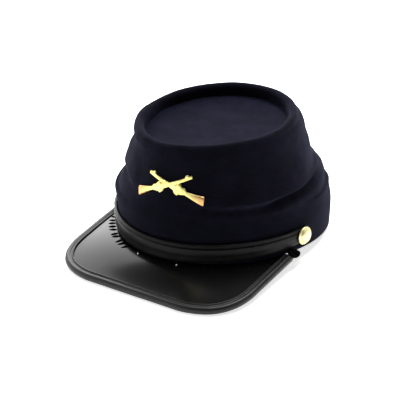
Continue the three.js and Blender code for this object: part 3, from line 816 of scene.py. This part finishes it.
BUTTON_BRASS = brass_material(
    "button_brass", bright=(1.0, 0.93, 0.55), worn=(0.92, 0.82, 0.42), roughness=0.42
)
BLACK_THREAD = thread_material("black_thread", shade=0.0015, pale_shade=0.00375)
# Near white and brighter than full white: a painted glint on the seam's black thread, not a pale
# thread of its own
THREAD_PAINTED_GLINT = thread_material("thread_painted_glint_white", shade=0.5, pale_shade=1.25)


# Cloth pieces


def crown_grid(azimuths):
    """The cloth's outer face as rows up the band, the crown's side, over the crest and down."""
    n = len(azimuths)
    rows = []
    for height in np.linspace(0, BAND_HEIGHT - BAND_TOP_MARGIN, BAND_ROWS):
        inset = CROWN_INSET * (height / BAND_HEIGHT) ** 2
        rows.append(upright(band_plan(azimuths, np.full(n, -inset)), height))
    side_shares = np.linspace(0, 1, SIDE_ROWS)[:-1]
    for share in side_shares:
        rows.append(crown_side(azimuths, np.full(n, share)))
    for turn in np.linspace(0, pi, CREST_ROWS):
        outset = CREST_RADIUS * (1 + cos(turn))
        height = RECESS_DEPTH - CREST_RADIUS + CREST_RADIUS * sin(turn)
        rows.append(top_point(azimuths, np.full(n, outset), height))
    for height in np.linspace(RECESS_DEPTH - CREST_RADIUS, -CLOTH_WALL - SEAT_GAP, WALL_ROWS)[1:]:
        rows.append(top_point(azimuths, np.zeros(n), height))
    grid = np.stack(rows, 1)
    over_start = (side_shares - CREST_LIFT_START) / (1 - CREST_LIFT_START)
    row_lift = np.concatenate([
        np.zeros(BAND_ROWS), np.clip(over_start, 0, 1) ** 2,
        np.ones(CREST_ROWS), np.linspace(1, 0, WALL_ROWS)[1:],
    ])
    nearness = np.maximum(0, np.cos(azimuths - CREST_LIFT_AZIMUTH)) ** CREST_LIFT_NARROWNESS
    grid[..., 2] += CREST_LIFT * nearness[:, None] * row_lift
    share = np.exp(-(((grid[..., 2:] - SWAY_HEIGHT) / SWAY_REACH) ** 2))
    grid[..., :2] += np.array(SWAY) * share
    return grid


def rumpled(grid):
    """The grid moved in and out by smooth noise, as soft cloth is, but little under the strap."""
    normal = surface_normals(grid, True)
    for a in range(grid.shape[0]):
        for r in range(grid.shape[1]):
            over_strap = (grid[a, r, 2] - STRAP_WIDTH) / STRAP_WIDTH
            free = min(1, max(RUMPLE_UNDER_STRAP, over_strap))
            grid[a, r] += normal[a, r] * waves(grid[a, r], CLOTH_WAVES) * free
    return grid


def cloth_uv(grid):
    """Distances in millimetres round the cap and up its cloth."""
    mean_radius = (BAND_LENGTH + BAND_WIDTH) / 4
    round_cap = np.linspace(0, 2 * pi * mean_radius, grid.shape[0], endpoint=False)
    steps = np.linalg.norm(np.diff(grid, axis=1), axis=-1).mean(0)
    up = np.concatenate([[0], np.cumsum(steps)])
    return np.stack(np.broadcast_arrays(round_cap[:, None], up[None]), -1)


def make_crown():
    """The band, the crown's side and its crest as one soft cloth, bare inside."""
    azimuths = np.linspace(0, 2 * pi, CROWN_LOOPS, endpoint=False)
    grid = rumpled(crown_grid(azimuths))
    normal = surface_normals(grid, True)
    inside = (grid - normal * CLOTH_WALL)[:, ::INSIDE_ROW_STEP]
    inside[:, 0, 2] = grid[:, 0, 2]
    loops = np.concatenate([grid, inside[:, ::-1]], 1)
    uv = cloth_uv(grid)
    uv = np.concatenate([uv, uv[:, ::INSIDE_ROW_STEP][:, ::-1]], 1)
    crown = add_loft("crown_cloth", loops, True, WOOL, uv)
    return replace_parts(crown, "crown_side", "crown_rim", "band")


def make_top():
    """The sunken top: a disc of cloth, sagging, puckered a little where it is sewn in."""
    azimuths = np.linspace(0, 2 * pi, TOP_LOOPS, endpoint=False)
    shares = np.linspace(1, TOP_HUB, TOP_RINGS)
    centre = (top_point(0, 0, 0) + top_point(pi, 0, 0)) / 2
    edge = top_point(azimuths, np.full(len(azimuths), TOP_TUCK), 0)
    up = np.array([0, -sin(radians(TOP_TILT)), cos(radians(TOP_TILT))])
    rows = []
    for share in shares:
        ring = centre + (edge - centre) * share
        wavy = min(1, (1 - share) * TOP_WAVE_FADE)
        pucker = PUCKER_DEPTH * share**PUCKER_FADE
        drop = np.array([
            TOP_SAG * (1 - share**2) - waves(p, TOP_WAVES) * wavy - pucker * sin(PUCKERS * a)
            for p, a in zip(ring, azimuths)
        ])
        rows.append(ring - up * drop[:, None])
    upper = np.stack(rows, 1)
    lower = upper - up * CLOTH_WALL
    loops = np.concatenate([upper, lower[:, ::-1]], 1)
    top = add_spun("crown_top_cloth", loops, len(shares) - 1, TOP_WOOL_PAINTED_LIT, flat_uv=True)
    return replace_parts(top, "crown_top")


# Leather pieces


def make_peak():
    """The peak's plate, from under the band to inside the binding."""
    stations = np.arange(PEAK_STATIONS + 1)
    rows = []
    for share in np.linspace(0, 1, PEAK_ROWS):
        rows.append(peak_middle(stations, np.full(len(stations), share)))
    grid = np.stack(rows, 1)
    frames = [peak_edge_frame(s) for s in stations]
    grid[:, -1] = [f["edge"] - f["out"] * (BINDING_SKIN + SEAT_GAP) for f in frames]
    normal = surface_normals(grid, False)
    normal *= np.sign(normal[..., 2:])
    half = PEAK_THICKNESS / 2
    upper = grid + normal * half
    lower = grid - normal * half
    loops = np.concatenate([upper, lower[:, ::-1]], 1)
    peak = add_loft("peak_plate", loops, False, PLATE_LEATHER)
    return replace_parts(peak, "peak")


def binding_section():
    """The binding's section out and up from the edge of the plate's middle: a soft roll outside,
    then a groove, a thin ridge and the cut edge on the plate."""
    half = BINDING_HEIGHT / 2
    slot = PEAK_THICKNESS / 2 + BINDING_CLEARANCE
    inner = -BINDING_WIDTH
    upper = [(inner, slot)] + [(inner + out, half - down) for out, down in BINDING_LIP]
    roll = []
    for turn in np.radians(np.linspace(*ROLL_TURN, ROLL_POINTS)):
        out = BINDING_WIDTH * (ROLL_RADIUS * cos(turn) - ROLL_MIDDLE)
        roll.append((out, half * ROLL_HEIGHT * sin(turn)))
    out, up = BINDING_LOWER_LIP
    lower = [(inner + out, up - half), (inner, -slot - BINDING_LOWER_EDGE), (inner, -slot)]
    skin = [(-BINDING_SKIN, -slot), (-BINDING_SKIN, slot)]
    return np.array(upper + roll + lower + skin)


def rounded_end(loop, way):
    """Loops that close the binding's end over in a dome."""
    centre = loop.mean(0)
    return [
        centre + way * BINDING_END * sin(turn) + (loop - centre) * cos(turn)
        for turn in np.radians(BINDING_END_TURNS)
    ]


def make_binding():
    """The rolled leather edge round the peak, with rounded ends."""
    section = binding_section()
    loops = []
    for station in range(PEAK_STATIONS + 1):
        f = peak_edge_frame(station)
        out = section[:, 0] + waves(f["edge"], BINDING_WAVES)
        loops.append(f["edge"] + np.outer(out, f["out"]) + np.outer(section[:, 1], f["up"]))
    first_way, last_way = (loops[0] - loops[1]).mean(0), (loops[-1] - loops[-2]).mean(0)
    first_way /= np.linalg.norm(first_way)
    last_way /= np.linalg.norm(last_way)
    loops = rounded_end(loops[0], first_way)[::-1] + loops + rounded_end(loops[-1], last_way)
    binding = add_loft("peak_binding_roll", loops, False, BINDING_LEATHER)
    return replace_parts(binding, "peak_binding")


def strap_edges(azimuth):
    """The heights of the strap's lower and upper edges. It rises and narrows to the buttons."""
    side = np.minimum(1, np.abs(azimuth) / BUTTON_AZIMUTH) ** 2
    lower = STRAP_LIFT + (STRAP_SIDE_LIFT + STRAP_NARROWING) * side
    upper = STRAP_LIFT + STRAP_WIDTH + STRAP_SIDE_LIFT * side
    return lower, upper


def make_strap():
    """The folded leather strap over the front, from button to button."""
    section = ((1, 0), *reversed(STRAP_FACE), (0, 0))
    reach = BUTTON_AZIMUTH + STRAP_TAIL / (BAND_LENGTH / 2)
    loops = []
    for azimuth in np.linspace(-reach, reach, STRAP_LOOPS):
        lower, upper = strap_edges(azimuth)
        loop = []
        for across, out in section:
            spot = upright(band_plan(azimuth, 0.0), lower + across * (upper - lower))
            outset = SEAT_GAP + out * (STRAP_THICKNESS + waves(spot, STRAP_WAVES))
            loop.append(upright(band_plan(azimuth, outset), spot[2]))
        loops.append(loop)
    strap = add_loft("chin_strap_leather", loops, False, STRAP_LEATHER)
    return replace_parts(strap, "chin_strap")


# Brass pieces


def button_place(side):
    """The centre of a button's seat on the strap, and the way out."""
    azimuth = side * BUTTON_AZIMUTH
    plan = band_plan(azimuth, SEAT_GAP + STRAP_THICKNESS)
    lower, upper = strap_edges(azimuth)
    return upright(plan, (lower + upper) / 2), upright(band_normal(azimuth), 0)


def make_button(name, side, node):
    """A domed brass button with a rolled rim, on the strap."""
    centre, out = button_place(side)
    right = np.cross(out, UP)
    profile = [(share, level * BUTTON_RIM) for share, level in BUTTON_PROFILE]
    foot, foot_rise = profile[-1]
    for share in np.linspace(*DOME_SHARES, DOME_ROWS):
        swell = sin(np.arccos(1 - share))
        profile.append((foot * (1 - share), foot_rise + (BUTTON_HEIGHT - foot_rise) * swell))
    loops = []
    for turn in np.linspace(0, 2 * pi, BUTTON_LOOPS, endpoint=False):
        way = right * cos(turn) + UP * sin(turn)
        loops.append([
            centre + out * (SEAT_GAP + rise) + way * share * BUTTON_RADIUS
            for share, rise in profile
        ])
    button = add_spun(name, np.array(loops), len(profile) - 1, BUTTON_BRASS)
    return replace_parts(button, node)


def on_crown(across, up, height):
    """A flat point of the badge laid on the crown's front."""
    crown_rise = top_point(0, 0, 0)[2] - BAND_HEIGHT
    azimuth = BADGE_AZIMUTH + np.asarray(across) / (BAND_LENGTH / 2)
    share = BADGE_LEVEL + np.asarray(up) / crown_rise
    after, before = azimuth + CROWN_STEP, azimuth - CROWN_STEP
    round_cap = crown_side(after, share) - crown_side(before, share)
    upward = crown_side(azimuth, share + CROWN_STEP) - crown_side(azimuth, share - CROWN_STEP)
    normal = np.cross(round_cap, upward)
    normal /= np.linalg.norm(normal, axis=-1, keepdims=True)
    return crown_side(azimuth, share) + normal * np.asarray(height)[..., None]


def make_rifle(name, mirror, lift):
    """One stamped rifle as a strip from butt to muzzle, rounded across its width."""
    along = np.linspace(0, 1, RIFLE_LOOPS)
    back = np.interp(along, *zip(*RIFLE_BACK))
    front = np.interp(along, *zip(*RIFLE_FRONT))
    across = np.linspace(-1, 1, RIFLE_COLUMNS)
    middle, half = (back + front) / 2, (back - front) / 2
    flat = (middle[:, None] + half[:, None] * across) * RIFLE_STOCK
    u = np.broadcast_to(((along - RIFLE_MIDDLE) * RIFLE_LENGTH)[:, None], flat.shape)
    x = u * cos(RIFLE_ANGLE) - flat * sin(RIFLE_ANGLE)
    y = u * sin(RIFLE_ANGLE) + flat * cos(RIFLE_ANGLE)
    if mirror:
        x = -x
    turned = np.array([[cos(BADGE_TURN), -sin(BADGE_TURN)], [sin(BADGE_TURN), cos(BADGE_TURN)]])
    x, y = np.moveaxis(np.stack([x, y], -1) @ turned.T, -1, 0)
    crest = np.sqrt(np.maximum(0, 1 - np.abs(across) ** RIFLE_ROUNDING))
    thickness = BADGE_THICKNESS * (RIFLE_EDGE + (1 - RIFLE_EDGE) * crest)
    rise = lift + thickness * np.ones_like(flat)
    for at, width, step in RIFLE_STEPS:
        rise += (step * np.exp(-(((along - at) / width) ** 4)))[:, None] * crest
    rise += STOCK_STEP * np.clip((STOCK_FRONT - along) / STOCK_EASE, 0, 1)[:, None] * crest
    upper = on_crown(x, y, SEAT_GAP + rise)
    lower = on_crown(x, y, np.full_like(x, SEAT_GAP + lift / 2))
    loops = np.concatenate([upper, lower[:, ::-1]], 1)
    uv = np.stack(np.broadcast_arrays(along[:, None], np.arange(loops.shape[1])[None]), -1)
    return add_loft(name, loops, False, BADGE_BRASS, uv)


# Threads


def peak_station(azimuth):
    """Where along the stations of the peak an azimuth is."""
    return (azimuth / radians(PEAK_END_AZIMUTH) + 1) / 2 * PEAK_STATIONS


def seam_stitches(start, end):
    """Hand stitches across the joint of the peak and the strap, between two azimuths."""
    paths = []
    count = int(abs(end - start) * BAND_LENGTH / 2 / STITCH_SPACING)
    for i in range(count):
        step = i + 0.5 + STITCH_JITTER * random.uniform(-1, 1)
        azimuth = start + (end - start) * step / count
        lean = STITCH_LEAN * (np.sign(azimuth) + LEAN_JITTER * random.uniform(-1, 1))
        station = peak_station(azimuth)
        path = []
        for t in np.linspace(0, 1, STITCH_POINTS):
            outset = STRAP_THICKNESS * STITCH_START + SEAT_GAP + t * STITCH_LENGTH
            plan = band_plan(azimuth + lean * t, outset)
            hump = THREAD_RADIUS * (STITCH_TIP + (1 - STITCH_TIP) * sin(pi * t))
            path.append(upright(plan, peak_height(station, plan) + hump))
        paths.append(path)
    return paths


def peak_height(station, plan):
    """The height of the peak's upper face over a plan point near a station."""
    station = int(round(min(max(station, 0), PEAK_STATIONS)))
    near, far = peak_middle(station, 0.0), peak_middle(station, 1.0)
    reach = np.linalg.norm(plan - near[:2]) / np.linalg.norm(far[:2] - near[:2])
    return peak_middle(station, reach)[2] + PEAK_THICKNESS / 2


def thread_end(azimuth):
    """A short end of thread lying on the peak in front of the strap, painted white as a glint on
    the seam's thread.
    """
    station = peak_station(azimuth)
    path = []
    for t in np.linspace(0, 1, THREAD_END_POINTS):
        outset = SEAT_GAP + STRAP_THICKNESS + t * THREAD_END_LENGTH
        plan = band_plan(azimuth + THREAD_END_TURN * t, outset)
        path.append(upright(plan, peak_height(station, plan) + THREAD_RADIUS))
    return path


def end_knot(side):
    """The thread wound into a knot where the end of the peak's binding meets the band."""
    azimuth = side * radians(KNOT_AZIMUTH)
    out = upright(band_normal(azimuth), 0)
    along = np.cross(UP, out)
    centre = upright(band_plan(azimuth, KNOT_OUTSET), KNOT_LEVEL)
    path = []
    for turn in np.linspace(0, 2 * pi, KNOT_POINTS):
        round_axis, over = KNOT_TURNS[0] * turn, sin(KNOT_TURNS[1] * turn)
        ring = np.sqrt(1 - KNOT_CLOSING * over**2)
        swell = 1 + waves((round_axis, over * KNOT_WAVE_STRETCH, turn), KNOT_WAVES)
        path.append(
            centre
            + along * KNOT_SIZE[0] * over * swell
            + out * KNOT_SIZE[1] * ring * cos(round_axis) * swell
            + UP * KNOT_SIZE[2] * ring * sin(round_axis) * swell
        )
    return path


def make_threads():
    """The seam's black stitches, two thread ends painted white as glints and the two knots."""
    end = radians(PEAK_END_AZIMUTH) - SEAM_MARGIN
    right, left = np.radians(SEAM_HIDDEN)
    paths = seam_stitches(-end, right) + seam_stitches(left, end)
    add_tubes("seam_stitches", paths, THREAD_RADIUS, BLACK_THREAD)
    # The thread ends are painted white: painted glints on the seam
    ends = [thread_end(radians(azimuth)) for azimuth in THREAD_ENDS]
    add_tubes("thread_ends_painted_glint", ends, THREAD_RADIUS, THREAD_PAINTED_GLINT)
    knots = [end_knot(side) for side in (-1, 1)]
    add_tubes("end_knots", knots, 2 * THREAD_RADIUS, BLACK_THREAD)


# Stage, light and camera

VIEW_AZIMUTH = radians(31.24)
VIEW_ELEVATION = radians(22.21)
VIEW_ROLL = radians(2.10)
VIEW_DISTANCE = 840.4
VIEW_TARGET = (-23.2, 0.0, 8.6)
FOCAL_PIXELS = 983.4
IMAGE_WIDTH = 400
SENSOR_WIDTH = 36

# The stage, with its lengths in metres in the row's frame
FLOOR_HALF = 6.0
FLOOR_CORNERS = ((-1, -1), (1, -1), (1, 1), (-1, 1))
FLOOR_TONES = (0.93, 0.95)
FLOOR_GLOW = 0.7
LIGHT_AIM = (0, 0, 0.05)

# The studio walls are white low down and on the picture's left, and dark overhead and on its
# right: the way to the dark side in the row's frame, and their shade at shares of that way
DARK_WAY = (0.7, -0.2, 0.9)
SKY = ((0.2, 1.0), (0.45, 0.03))
SKY_STRENGTH = 1.5


def add_camera():
    """The photo's camera, set up in the cap's own frame."""
    back = Vector((
        sin(VIEW_AZIMUTH) * cos(VIEW_ELEVATION),
        -cos(VIEW_AZIMUTH) * cos(VIEW_ELEVATION),
        sin(VIEW_ELEVATION),
    ))
    level = Vector((cos(VIEW_AZIMUTH), sin(VIEW_AZIMUTH), 0))
    right = level * cos(VIEW_ROLL) + back.cross(level) * sin(VIEW_ROLL)
    up = back.cross(right)
    turn = PLACE.to_3x3().normalized()
    axes = Matrix([turn @ right, turn @ up, turn @ back]).transposed()
    data = bpy.data.cameras.new("camera")
    data.sensor_width = SENSOR_WIDTH
    data.lens = FOCAL_PIXELS * SENSOR_WIDTH / IMAGE_WIDTH
    camera = bpy.data.objects.new("camera", data)
    location = PLACE @ (Vector(VIEW_TARGET) + back * VIEW_DISTANCE)
    camera.matrix_world = Matrix.Translation(location) @ axes.to_4x4()
    bpy.context.scene.collection.objects.link(camera)
    bpy.context.scene.camera = camera


def add_light(name, location, size, power):
    """A square softbox aimed at the cap."""
    data = bpy.data.lights.new(name, "AREA")
    data.shape = "SQUARE"
    data.size = size
    data.energy = power
    light = bpy.data.objects.new(name, data)
    light.location = location
    aim = Vector(LIGHT_AIM) - Vector(location)
    light.rotation_euler = aim.to_track_quat("-Z", "Y").to_euler()
    bpy.context.scene.collection.objects.link(light)


def add_stage():
    """Pale paper that glows a little, three softboxes and the studio's walls."""
    mesh = bpy.data.meshes.new("floor")
    corners = [(x * FLOOR_HALF, y * FLOOR_HALF, 0) for x, y in FLOOR_CORNERS]
    mesh.from_pydata(corners, [], [(0, 1, 2, 3)])
    floor = bpy.data.objects.new("floor", mesh)
    bpy.context.scene.collection.objects.link(floor)
    paper = Nodes(
        "pale_paper", Roughness=0.9, Emission_Color=(1, 1, 1, 1), Emission_Strength=FLOOR_GLOW,
    )
    tone = paper.noise(paper.coordinates("Object"), scale=3, detail=2, roughness=0.5)
    low, high = FLOOR_TONES
    paper.link(paper.ramp(tone, (0.0, grey(low)), (1.0, grey(high))), "Base Color")
    mesh.materials.append(paper.material)
    bpy.context.scene.view_settings.view_transform = "Standard"
    add_sky()
    add_light("top_softbox", (0.0, 0.55, 1.55), size=0.9, power=35)
    add_light("left_softbox", (-1.0, 1.1, 0.95), size=1.5, power=34)
    add_light("right_softbox", (1.4, 0.5, 0.8), size=0.8, power=2)


def add_sky():
    """Studio walls that shade from white to dark along one way."""
    world = bpy.data.worlds.new("studio")
    world.use_nodes = True
    nodes, links = world.node_tree.nodes, world.node_tree.links
    direction = nodes.new("ShaderNodeTexCoord").outputs["Generated"]
    darkward = nodes.new("ShaderNodeVectorMath")
    darkward.operation = "DOT_PRODUCT"
    darkward.inputs[1].default_value = DARK_WAY
    links.new(direction, darkward.inputs[0])
    ramp = nodes.new("ShaderNodeValToRGB")
    links.new(darkward.outputs["Value"], ramp.inputs["Fac"])
    for element, (position, shade) in zip(ramp.color_ramp.elements, SKY):
        element.position = position
        element.color = (*grey(shade), 1)
    links.new(ramp.outputs["Color"], nodes["Background"].inputs["Color"])
    nodes["Background"].inputs["Strength"].default_value = SKY_STRENGTH
    bpy.context.scene.world = world


make_crown()
make_top()
make_peak()
make_binding()
make_strap()
make_button("button_left_dome", side=1, node="button_left")
make_button("button_right_dome", side=-1, node="button_right")
rifle = make_rifle("rifle_from_right", mirror=False, lift=BADGE_RELIEF)
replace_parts(rifle, "rifle_badge")
make_rifle("rifle_from_left", mirror=True, lift=0)
make_threads()
add_stage()
add_camera()
